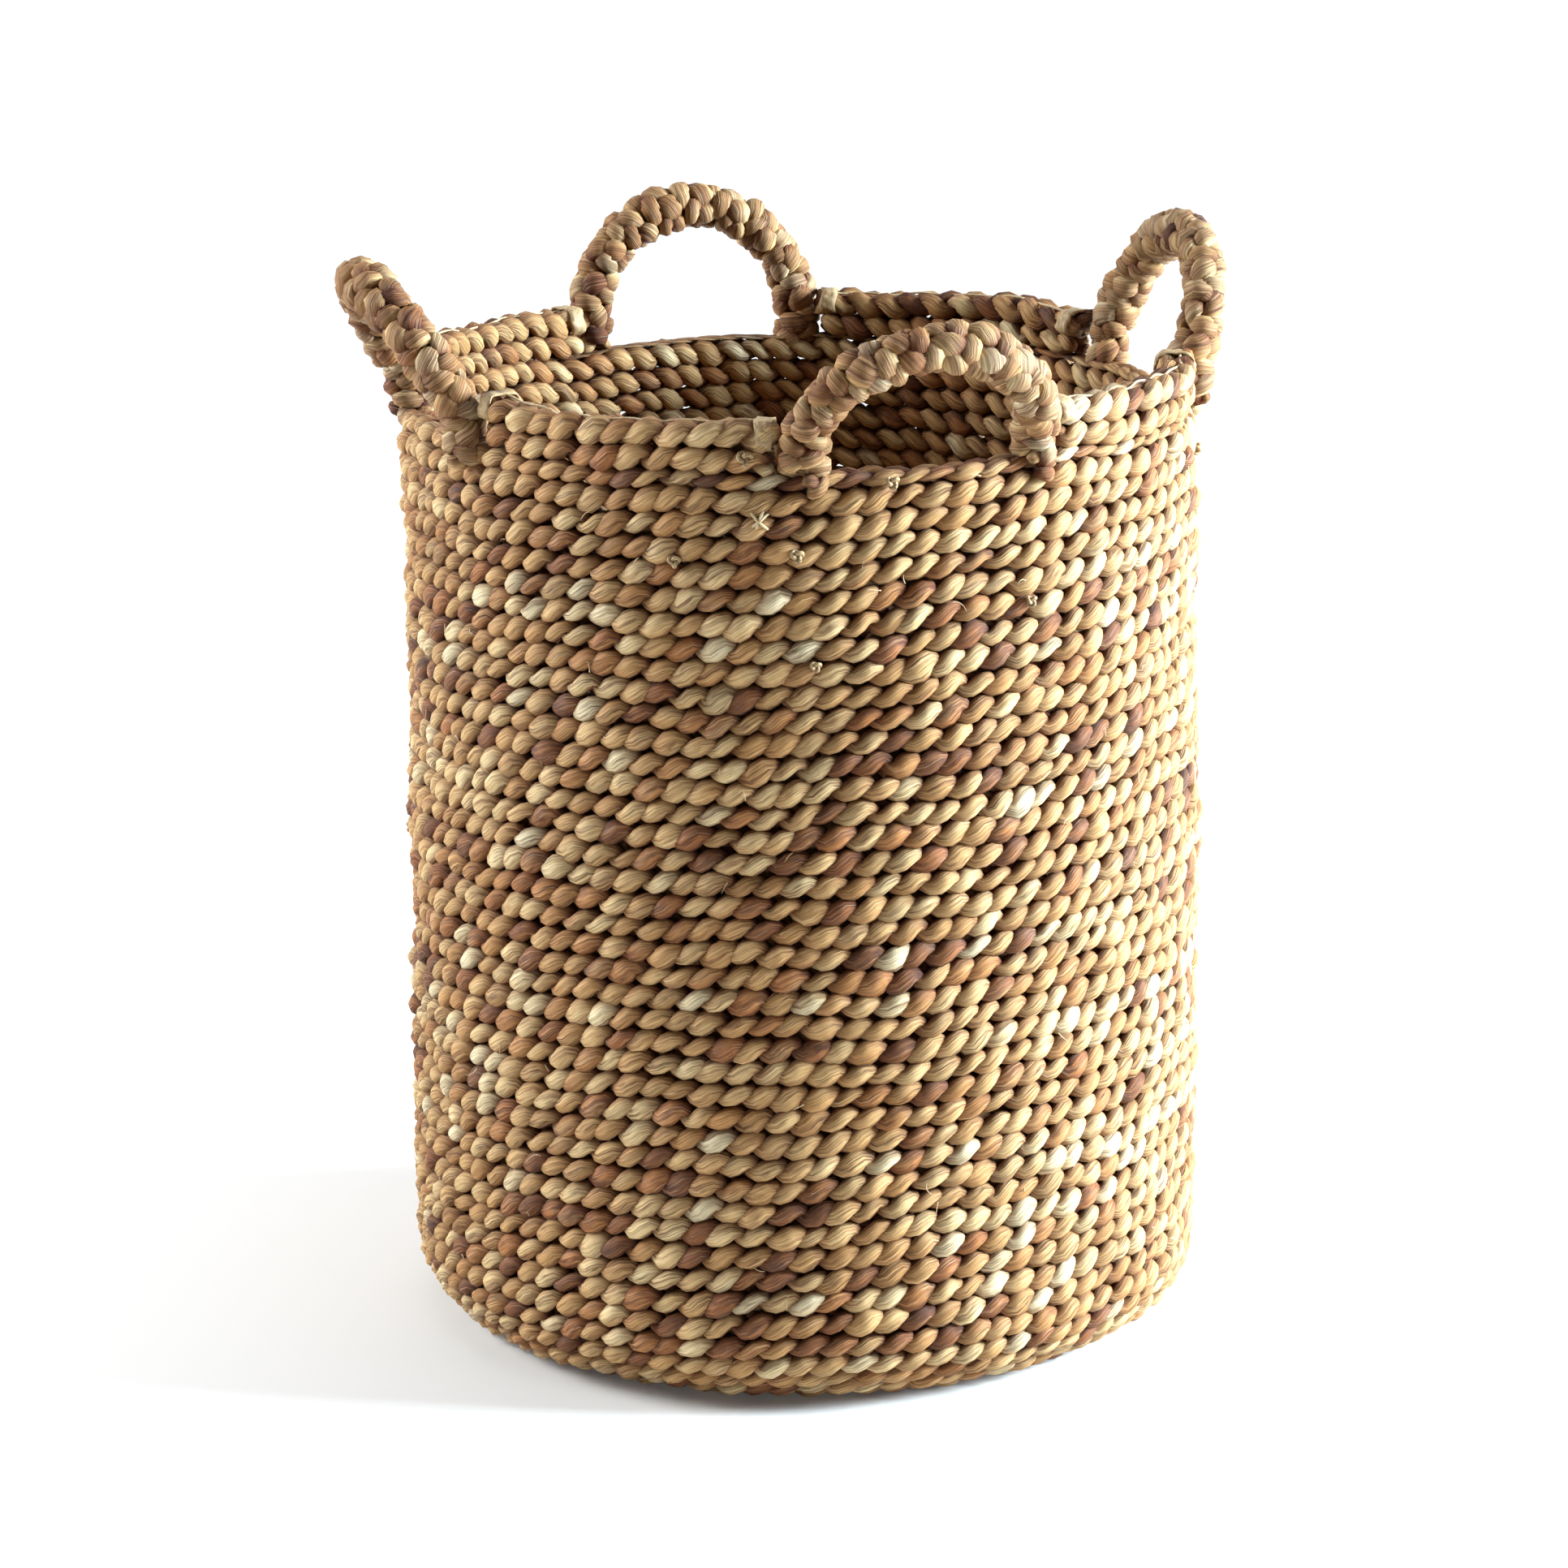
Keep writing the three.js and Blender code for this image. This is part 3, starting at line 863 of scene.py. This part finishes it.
@dataclass
class Plait:
    """A flat three-strand plait, described in its own flat coordinates."""

    period: float = 40.5 * MM
    swing: float = 5.6 * MM
    lift: float = 2.75 * MM
    edge_width: float = 4.4 * MM
    edge_height: float = 5.15 * MM
    middle_width: float = 4.5 * MM
    middle_height: float = 3.3 * MM
    crown: float = 2.4  # how suddenly a grain swells towards the edge of the plait
    end_taper: float = 0.0
    shade: float = 0.56
    variety: float = 1.0
    steps: int = 15
    sides: int = 10
    strands: int = 3
    skin_reach: float = 3.8  # how far round a stem its pattern reaches, in millimetres

    def _stems(self, rng: np.random.Generator, count: int) -> tuple[np.ndarray, np.ndarray]:
        """Picks the stems of one strand, each of which lasts for a few bends.

        Args:
            rng: Source of the picks.
            count: How many bends the strand has.

        Returns:
            The shade of each bend from 0 to 1, and its girth from -1 to 1.
        """
        tones, girths = np.empty(count), np.empty(count)
        at = 0
        while at < count:
            run = int(rng.integers(1, 7))
            pick = rng.random() / self.variety
            if pick < 0.06:
                tone = rng.uniform(0.0, 0.12)
            elif pick < 0.15:
                tone = rng.uniform(0.13, 0.33)
            elif pick < 0.26:
                tone = rng.uniform(0.80, 0.96)
            else:
                tone = rng.normal(self.shade, 0.14)
            tones[at : at + run] = tone
            girths[at : at + run] = rng.uniform(-1, 1)
            at += run
        return np.clip(tones + rng.normal(0, 0.07, count), 0, 1), girths

    def _drawn_out(self, s: np.ndarray, index: int) -> tuple[np.ndarray, np.ndarray]:
        """Swings one strand from edge to edge of the plait.

        Args:
            s: Length along the plait.
            index: Which strand of the plait.

        Returns:
            The strand's phase, and the number of the bend, both along s.
        """
        drift = 0.16 * np.sin(s / 0.083 + index * 2.1) + 0.14 * np.sin(s / 0.031 + index)
        phase = TAU * s / self.period + TAU * index / self.strands + drift
        bend = np.floor(phase / math.pi).astype(int)
        return phase, bend - bend.min()

    @staticmethod
    def _square_to(core: np.ndarray) -> tuple[np.ndarray, np.ndarray]:
        """Finds the directions across a strand.

        Args:
            core: The strand's middle line, shaped (count, 3).

        Returns:
            Unit vectors across its width and through its thickness.
        """
        tangent = np.gradient(core, axis=0)
        tangent /= np.linalg.norm(tangent, axis=1, keepdims=True)
        across = np.array([0, 1.0, 0]) - tangent * tangent[:, 1:2]
        across /= np.linalg.norm(across, axis=1, keepdims=True)
        return across, np.cross(tangent, across)

    def _tapered(self, s: np.ndarray, ends: tuple[float, float]) -> np.ndarray:
        """Share of the full girth, which falls to a half at both ends."""
        close = np.minimum(s - ends[0], ends[1] - s)
        share = close / self.end_taper if self.end_taper else np.ones_like(s)
        return 0.5 + 0.5 * np.sqrt(np.clip(share, 0, 1))

    def strand(
        self, batch: TubeBatch, lay: Lay, ends: tuple[float, float], index: int, rng: np.random.Generator
    ) -> None:
        """Adds one strand as a closed tube.

        Args:
            batch: Where the tube goes.
            lay: Places flat coordinates on the basket.
            ends: Length along the plait where the strand starts and ends.
            index: Which strand of the plait.
            rng: Source of the strand's own unevenness.
        """
        count = max(6, int(round((ends[1] - ends[0]) / self.period * self.steps)))
        s = np.linspace(ends[0], ends[1], count)
        phase, bend = self._drawn_out(s, index)
        bends = bend.max() + 1
        edge = np.abs(np.sin(phase))
        own = np.clip(rng.normal(0, 1, (6, bends)), -2, 2)[:, bend] * edge
        spin = rng.uniform(0, TAU, (2, bends))[:, bend, None]
        tone, girth = (values[bend] for values in self._stems(rng, bends))
        u = self.swing * np.sin(phase) * (1 + 0.07 * own[0])
        w = -self.lift * np.sin(2 * phase) * (1 + 0.14 * own[1]) + 0.5 * MM * own[2]
        core = np.stack([s, u, w], -1)
        across, upward = self._square_to(core)
        taper = self._tapered(s, ends)
        height = self.middle_height + (self.edge_height - self.middle_height) * edge**self.crown
        width = self.middle_width + (self.edge_width - self.middle_width) * edge
        height = height * (1 + 0.10 * own[3] + 0.12 * girth * edge) * taper
        width = width * (1 + 0.08 * own[4] + 0.10 * girth * edge) * taper
        psi = np.arange(self.sides) / self.sides * TAU
        lobes = 0.05 * np.cos(2 * psi + spin[0]) + 0.06 * np.cos(3 * psi + spin[1])
        ring = 1 + edge[:, None] * lobes
        out = (width[:, None] * np.cos(psi) * ring)[..., None] * across[:, None]
        up = (height[:, None] * np.sin(psi) * ring)[..., None] * upward[:, None]
        flat = core[:, None] + out + up
        along = s[:, None] / MM + rng.uniform(0, 900)
        place = np.broadcast_arrays(along, self.skin_reach * np.cos(psi), self.skin_reach * np.sin(psi))
        attributes = {
            "stem_place": np.stack(place, -1),
            "stem_tone": np.broadcast_to(tone[:, None], ring.shape),
            # Strength of the painted shade: 0 on a grain's crown, 1 where it goes under its neighbour, and
            # up to 0.6 on its two faces through the plait's thickness, which on the wall touch the next
            # courses.
            "stem_tuck": np.maximum((1 - edge[:, None]) ** 1.05, 0.6 * np.abs(np.sin(psi)) ** 6),
        }
        batch.add(lay(flat[..., 0], flat[..., 1], flat[..., 2]), attributes)

    def lay_down(self, name: str, lay: Lay, ends: tuple[float, float], seed: int) -> bpy.types.Object:
        """Makes a length of plait as one piece.

        Args:
            name: The piece's name.
            lay: Places flat coordinates on the basket.
            ends: Length along the plait where the piece starts and ends.
            seed: Seed of its unevenness.

        Returns:
            The piece.
        """
        batch, rng = TubeBatch(), np.random.default_rng(seed)
        for index in range(self.strands):
            self.strand(batch, lay, ends, index, rng)
        return batch.build(name)


# ---- Sub-assemblies -------------------------------------------------------------------------------


def dress(
    piece: bpy.types.Object, finish: bpy.types.Material, slot: Slot, body: str | None, *nodes: str
) -> None:
    """Gives a piece its finish and its place in the basket.

    Args:
        piece: The piece.
        finish: Its material.
        slot: The record's slot for that material; not used.
        body: The body that it rides on, or None for a piece that bends between two.
        nodes: The CAD nodes that it stands for.
    """
    piece.data.materials.append(finish)
    if body:
        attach(piece, body)
    if nodes:
        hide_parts(*nodes)
    log.info("%s: %d faces", piece.name, len(piece.data.polygons))


@dataclass
class Coil:
    """The base, corner and wall: one long plait cut into the lengths that the CAD names."""

    shape: BasketShape
    plait: Plait = field(default_factory=Plait)
    start_turn: float = 0.22
    wall_lengths: int = 8

    def spans(self) -> Iterable[tuple[str, float, float, Slot]]:
        """Lists the lengths from the middle of the base upwards.

        Returns:
            Each length's CAD node, first turn, last turn and slot.
        """
        shape = self.shape
        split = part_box("base_centre_coil")[1].x / shape.base_pitch
        yield "base_centre_coil", self.start_turn, split, Slot.BASE
        yield "base_outer_coil", split, shape.base_turns, Slot.BASE
        wall = shape.base_turns + shape.corner_courses
        yield "corner_coil_lower", shape.base_turns, shape.base_turns + 2, Slot.WALL
        yield "corner_coil_upper", shape.base_turns + 2, wall, Slot.WALL
        edges = [round(i * shape.wall_courses / self.wall_lengths) for i in range(self.wall_lengths + 1)]
        for i, (low, high) in enumerate(zip(edges, edges[1:])):
            yield f"wall_coil_{i + 1}", wall + low, wall + high, Slot.WALL

    def build(self, finish: bpy.types.Material) -> None:
        """Lays every length and dresses it.

        Args:
            finish: The stems' material.
        """
        lay = CoilLay(self.shape)
        for seed, (node, first, last, slot) in enumerate(self.spans()):
            ends = (lay.length_at(first), lay.length_at(last))
            piece = self.plait.lay_down(f"{node}_plait", lay, ends, 100 + seed)
            dress(piece, finish, slot, "basket", node)


@dataclass
class Rim:
    """The courses that stand between the handles."""

    shape: BasketShape
    names: tuple[str, ...] = ("front_right", "back_right", "back_left", "front_left")
    lower: Plait = field(default_factory=lambda: Plait(end_taper=2 * MM))
    upper: Plait = field(default_factory=lambda: Plait(period=43 * MM, edge_height=5.3 * MM))
    upper_height: float = 1.04
    stub: float = 2.5 * MM

    def build(self, finish: bpy.types.Material) -> None:
        """Lays both courses of each arc and dresses them.

        Args:
            finish: The stems' material.
        """
        courses = (("lower", self.lower, 1.0, 0.0), ("upper", self.upper, self.upper_height, self.stub))
        for i, name in enumerate(self.names):
            for course, (level, plait, height, stub) in enumerate(courses):
                node = f"rim_{level}_{name}"
                start, end = arc_ends(node, self.shape.top_radius)
                lay = ArcLay(self.shape, course, start, height)
                ends = (-stub, (end - start) * float(lay.radius) + stub)
                piece = plait.lay_down(f"{node}_plait", lay, ends, 300 + 10 * i + course)
                dress(piece, finish, Slot.WALL, "basket", node)


@dataclass
class Handle:
    """One rope handle, sewn down at both feet."""

    shape: BasketShape
    name: str
    plait: Plait = field(
        default_factory=lambda: Plait(
            period=30 * MM,
            swing=5.4 * MM,
            lift=2.9 * MM,
            edge_width=5.0 * MM,
            edge_height=3.9 * MM,
            middle_width=4.6 * MM,
            middle_height=3.2 * MM,
            end_taper=10 * MM,
            shade=0.72,
            variety=0.40,
            steps=18,
        )
    )

    def build(self, finish: bpy.types.Material, core: bpy.types.Material, seed: int) -> None:
        """Winds the rope and dresses it and its core.

        Args:
            finish: The stems' material.
            core: The core's material.
            seed: Seed of the rope's unevenness.
        """
        joint = next(j for j in frame["joints"] if j["name"] == f"{self.name}_handle_lean")
        lay = RopeLay(self.shape, self.name, joint)
        piece = self.plait.lay_down(f"{self.name}_handle_rope", lay, (0.0, lay.length), seed)
        nodes = [f"{self.name}_handle_{part}" for part in ("left_foot", "right_foot", "plait")]
        dress(piece, finish, Slot.ROPE, None, *nodes)
        hinge, reach = Vector(lay.hinge), Vector((0, 0, BEND_REACH))
        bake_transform(piece, "basket", f"{self.name}_handle", hinge - reach, hinge + reach)
        stems = bpy.data.objects[f"{self.name}_handle_core"]
        stems.data.materials.clear()
        stems.data.materials.append(core)


def trefoil(depth: float) -> np.ndarray:
    """Draws a closed overhand knot that is about 2 across.

    Args:
        depth: How far it rises and sinks.

    Returns:
        Points shaped (60, 3).
    """
    t = np.linspace(0, TAU, 60)
    x = (np.sin(t) + 2 * np.sin(2 * t)) / 3
    y = (np.cos(t) - 2 * np.cos(2 * t)) / 3
    return np.stack([x, y, -depth * np.sin(3 * t)], -1)


# Small knots on the wall: direction in degrees, height and size.
KNOTS = (
    (-124.8, 0.4283, 2.6 * MM),
    (-107.9, 0.4336, 2.8 * MM),
    (-114.8, 0.4790, 3.2 * MM),
    (-94.9, 0.4660, 2.8 * MM),
    (-105.5, 0.3787, 2.4 * MM),
    (-74.4, 0.4020, 2.4 * MM),
    (-20.0, 0.4450, 2.6 * MM),
    (35.0, 0.3600, 2.6 * MM),
    (118.0, 0.4300, 2.8 * MM),
    (163.0, 0.2500, 2.5 * MM),
)


@dataclass
class Trim:
    """Leaf bindings, sewing thread, knots and loose ends."""

    shape: BasketShape
    wrap_size: tuple[float, float, float] = (8.5 * MM, 9.9 * MM, 6.7 * MM)
    wrap_squareness: float = 2.7
    wrap_inset: float = 1.5 * MM
    leaf: float = 0.9 * MM
    thread: float = 0.6 * MM
    cross_place: tuple[float, float] = (math.radians(-113.0), 0.4491)
    hair_count: int = 150

    def build(self, leaf: bpy.types.Material, thread: bpy.types.Material) -> None:
        """Makes all the trim.

        Args:
            leaf: The material of bindings and knots.
            thread: The material of threads and loose ends.
        """
        for name in Rim.names:
            for end in ("start", "end"):
                self._wrap(f"rim_wrap_{name}_{end}", leaf)
            self._crest_thread(f"rim_thread_{name}", thread)
        self._cross(thread)
        self._centre(leaf)
        for index, (degrees, height, size) in enumerate(KNOTS):
            self._knot(f"knot_{index + 1}", math.radians(degrees), height, size, leaf)
        self._loose_ends(thread)

    @staticmethod
    def _open_ring(name: str) -> bpy.types.Object:
        """Makes a band of radius 1 and width 1 round the Y axis.

        Args:
            name: The piece's name.

        Returns:
            The band, finely divided.
        """
        bpy.ops.object.select_all(action="DESELECT")
        bpy.ops.mesh.primitive_cylinder_add(
            vertices=28, radius=1, depth=1, end_fill_type="NOTHING", rotation=(math.pi / 2, 0, 0)
        )
        piece = bpy.context.object
        piece.name = name
        bpy.ops.object.transform_apply(location=False)
        bpy.ops.object.mode_set(mode="EDIT")
        bpy.ops.mesh.select_all(action="SELECT")
        bpy.ops.mesh.subdivide(number_cuts=2)
        bpy.ops.object.mode_set(mode="OBJECT")
        return piece

    def _bound(self, co: np.ndarray, angle: float) -> np.ndarray:
        """Presses a round band to the rim's section, with the creases of a wound leaf.

        Args:
            co: The band's points.
            angle: The band's direction, which makes its creases its own.

        Returns:
            Points as distance out, along and up from the middle of the rim course.
        """
        long, wide, tall = self.wrap_size
        turn = np.arctan2(co[:, 2], co[:, 0])
        corners = np.abs(np.cos(turn)) ** self.wrap_squareness + np.abs(np.sin(turn)) ** self.wrap_squareness
        crease = 1 + 0.035 * np.sin(5 * turn + 40 * angle) + 0.03 * np.sin(9 * turn + co[:, 1] * 5 + angle)
        reach = crease / corners ** (1 / self.wrap_squareness)
        along = co[:, 1] * long + 0.6 * MM * np.sin(3 * turn + angle * 9)
        return np.stack([np.cos(turn) * reach * wide, along, np.sin(turn) * reach * tall], -1)

    def _wrap(self, node: str, leaf: bpy.types.Material) -> None:
        """Binds one cut end of the top rim course with a strip of leaf.

        Args:
            node: The CAD binding that it stands for.
            leaf: Its material.
        """
        low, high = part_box(node)
        middle = (low + high) / 2
        inward = self.wrap_inset if node.endswith("start") else -self.wrap_inset
        angle = math.atan2(middle.y, middle.x) + inward / middle.xy.length
        piece = self._open_ring(f"{node}_leaf")
        band = self._bound(np.array([v.co for v in piece.data.vertices]), angle)
        x = self.shape.top_radius - self.shape.thickness / 2 - 0.3 * MM + band[:, 0]
        y = band[:, 1]
        z = self.shape.rim_top - self.shape.pitch / 2 + 0.4 * MM + band[:, 2]
        cos, sin = math.cos(angle), math.sin(angle)
        placed = uneven(np.stack([x * cos - y * sin, x * sin + y * cos, z], -1))
        piece.data.vertices.foreach_set("co", placed.astype(np.float32).ravel())
        skin = piece.modifiers.new("leaf", "SOLIDIFY")
        skin.thickness, skin.offset = self.leaf, 0
        bpy.ops.object.modifier_apply(modifier=skin.name)
        bpy.ops.object.shade_smooth()
        dress(piece, leaf, Slot.WRAP, "basket", node)

    @staticmethod
    def _tube(batch: TubeBatch, path: np.ndarray, radius: float | np.ndarray, sides: int = 6) -> None:
        """Adds a thin tube.

        Args:
            batch: Where the tube goes.
            path: Its middle line, shaped (count, 3).
            radius: One radius, or one for each point.
            sides: How many sides it has.
        """
        tangent = np.gradient(path, axis=0)
        tangent /= np.linalg.norm(tangent, axis=1, keepdims=True)
        steep = np.abs(tangent[:, 2:3]) > 0.9
        side = np.cross(tangent, np.where(steep, np.array([[1.0, 0, 0]]), np.array([[0, 0, 1.0]])))
        side /= np.linalg.norm(side, axis=1, keepdims=True)
        lift = np.cross(side, tangent)
        psi = np.arange(sides) / sides * TAU
        radius = np.broadcast_to(radius, len(path))[:, None, None]
        ring = np.cos(psi)[None, :, None] * side[:, None] + np.sin(psi)[None, :, None] * lift[:, None]
        batch.add(path[:, None] + radius * ring, {})

    def _crest_thread(self, node: str, thread: bpy.types.Material) -> None:
        """Lays a thread along the crest of one rim arc.

        Args:
            node: The CAD thread that it stands for.
            thread: Its material.
        """
        crest = self.shape.top_radius - self.shape.thickness / 2
        start, end = arc_ends(node, crest + self.thread)
        angle = np.linspace(start, end, 160)
        radius = crest + 2.6 * MM * np.sin(9 * angle + start) + 0.6 * MM * np.sin(47 * angle)
        z = self.shape.rim_top - 0.1 * MM + 0.5 * MM * np.sin(43 * angle)
        path = uneven(np.stack([radius * np.cos(angle), radius * np.sin(angle), z], -1))
        batch = TubeBatch()
        self._tube(batch, path, self.thread)
        dress(batch.build(f"{node}_line"), thread, Slot.THREAD, "basket", node)

    def _on_wall(self, angle: float, height: float, points: np.ndarray, out: float) -> np.ndarray:
        """Moves points to a place on the wall.

        Args:
            angle: Direction of the place.
            height: Its height.
            points: Points as distance along the wall, up it and out of it.
            out: How far out of the wall they all move.

        Returns:
            The moved points.
        """
        radius = self.shape.radius_at(np.array(height)) + out + points[:, 2]
        turn = angle + points[:, 0] / radius
        return uneven(np.stack([radius * np.cos(turn), radius * np.sin(turn), height + points[:, 1]], -1))

    def _cross(self, thread: bpy.types.Material) -> None:
        """Ties a small cross of raffia over one grain."""
        batch = TubeBatch()
        reach = np.linspace(-1, 1, 12)
        for slope in (0.9, -1.0, 2.6):
            size = 5.5 * MM / math.hypot(1, slope)
            path = np.stack([reach * size, slope * reach * size, -2.6 * MM * reach**2], -1)
            self._tube(batch, self._on_wall(*self.cross_place, path, 1.0 * MM), 0.75 * MM)
        dress(batch.build("raffia_cross"), thread, Slot.THREAD, "basket")

    def _knot(self, name: str, angle: float, height: float, size: float, leaf: bpy.types.Material) -> None:
        """Ties a small overhand knot that stands on the wall.

        Args:
            name: The piece's name.
            angle: Its direction.
            height: Its height.
            size: Half its width.
            leaf: Its material.
        """
        batch = TubeBatch()
        path = self._on_wall(angle, height, trefoil(0.5) * size, 0.2 * MM)
        self._tube(batch, path, size * 0.36, 8)
        dress(batch.build(name), leaf, Slot.WRAP, "basket")

    def _centre(self, leaf: bpy.types.Material) -> None:
        """Ties off the start of the plait in the middle of the base."""
        batch = TubeBatch()
        middle = np.array([-2 * MM, 1 * MM, self.shape.thickness / 2])
        self._tube(batch, trefoil(0.6) * 6.5 * MM + middle, 3.2 * MM, 10)
        dress(batch.build("centre_knot"), leaf, Slot.WRAP, "basket")

    def _loose_ends(self, thread: bpy.types.Material) -> None:
        """Scatters short loose fibres over the wall and rim."""
        rng = np.random.default_rng(71)
        batch = TubeBatch()
        reach = np.linspace(0, 1, 6)
        for _ in range(self.hair_count):
            angle = rng.uniform(0, TAU)
            height = rng.uniform(0.05, self.shape.wall_top - 5 * MM)
            length = rng.uniform(3.5, 9.0) * MM
            heading = rng.uniform(0, TAU)
            curl = rng.normal(0, 0.5)
            direction = heading + curl * reach
            x, y = np.cos(direction) * reach * length, np.sin(direction) * reach * length
            z = rng.uniform(0.15, 0.55) * length * reach**1.5
            path = self._on_wall(angle, height, np.stack([x, y, z], -1), -1.0 * MM)
            self._tube(batch, path, (0.30 - 0.2 * reach) * MM, 4)
        dress(batch.build("loose_ends"), thread, Slot.THREAD, "basket")


# ---- Studio ---------------------------------------------------------------------------------------


@dataclass(frozen=True)
class Lamp:
    """A square soft light aimed at a point."""

    name: str
    place: tuple[float, float, float]
    target: tuple[float, float, float]
    size: float
    power: float
    colour: Colour

    def build(self) -> None:
        """Hangs the light."""
        data = bpy.data.lights.new(self.name, "AREA")
        data.size, data.energy, data.color = self.size, self.power, self.colour
        lamp = bpy.data.objects.new(self.name, data)
        lamp.location = self.place
        aim = Vector(self.target) - Vector(self.place)
        lamp.rotation_euler = aim.to_track_quat("-Z", "Y").to_euler()
        bpy.context.scene.collection.objects.link(lamp)


@dataclass
class Studio:
    """Plain floor, soft lights and the camera."""

    distance: float = 2.689
    elevation: float = math.radians(14.96)
    azimuth: float = math.radians(-17.4)
    roll: float = math.radians(-0.48)
    lens: float = 119.57
    shift: tuple[float, float] = (-0.0123, 0.0271)
    target_height: float = 0.2465
    surround: float = 0.09
    lamps: tuple[Lamp, ...] = (
        Lamp("key", (2.5, -0.90, 1.1), (0, 0, 0.25), 1.1, 405, (0.80, 1.0, 1.16)),
        Lamp("rim_light", (-2.1, 1.0, 1.3), (0, 0, 0.25), 1.2, 114, (0.90, 1.0, 1.08)),
        Lamp("backdrop", (2.2, 6.6, 2.8), (2.2, 6.6, 0.0), 7.0, 330, (0.88, 0.94, 1.0)),
    )

    def build(self) -> None:
        """Sets the floor, world, lights and camera."""
        bpy.ops.object.select_all(action="DESELECT")
        bpy.ops.mesh.primitive_plane_add(size=30)
        floor = bpy.context.object
        floor.name = "floor"
        floor.data.materials.append(FloorFinish().material())
        self._world()
        for lamp in self.lamps:
            lamp.build()
        self._sky_light()
        self._camera()
        bpy.context.scene.view_settings.view_transform = "Standard"

    def _world(self) -> None:
        """Surrounds the scene with an even white."""
        world = bpy.data.worlds.new("surround")
        world.use_nodes = True
        sky = world.node_tree.nodes["Background"]
        sky.inputs["Color"].default_value = (1, 1, 1, 1)
        sky.inputs["Strength"].default_value = self.surround
        bpy.context.scene.world = world

    @staticmethod
    def _sky_light() -> None:
        """Adds a broad light from overhead."""
        data = bpy.data.lights.new("overhead", "SUN")
        data.energy, data.angle, data.color = 0.95, math.radians(50), (0.94, 0.98, 1.05)
        lamp = bpy.data.objects.new("overhead", data)
        lamp.rotation_euler = (math.radians(6), math.radians(8), 0)
        bpy.context.scene.collection.objects.link(lamp)

    def _camera(self) -> None:
        """Places the camera."""
        data = bpy.data.cameras.new("camera")
        data.lens, data.sensor_width = self.lens, 36
        data.shift_x, data.shift_y = self.shift
        camera = bpy.data.objects.new("camera", data)
        a, e = self.azimuth, self.elevation
        back = Vector((math.sin(a) * math.cos(e), -math.cos(a) * math.cos(e), math.sin(e)))
        turn = (-back).to_track_quat("-Z", "Y").to_matrix().to_4x4()
        place = Matrix.Translation(Vector((0, 0, self.target_height)) + back * self.distance)
        camera.matrix_world = place @ turn @ Matrix.Rotation(self.roll, 4, "Z")
        bpy.context.scene.collection.objects.link(camera)
        bpy.context.scene.camera = camera


def main() -> None:
    """Builds the studio and the basket."""
    logging.basicConfig(level=logging.INFO, format="%(name)s %(message)s")
    Studio().build()
    shape = BasketShape()
    stem = StemFinish().material()
    Coil(shape).build(stem)
    Rim(shape).build(stem)
    leaf = RaffiaFinish("leaf_binding", (0.50, 0.345, 0.175), (0.24, 0.140, 0.06)).material()
    thread = RaffiaFinish("raffia_thread", (0.62, 0.47, 0.28), (0.42, 0.28, 0.14)).material()
    Trim(shape).build(leaf, thread)
    core = CoreFinish().material()
    for seed, name in enumerate(HANDLES):
        Handle(shape, name).build(stem, core, 500 + seed)


if __name__ == "__main__":
    main()
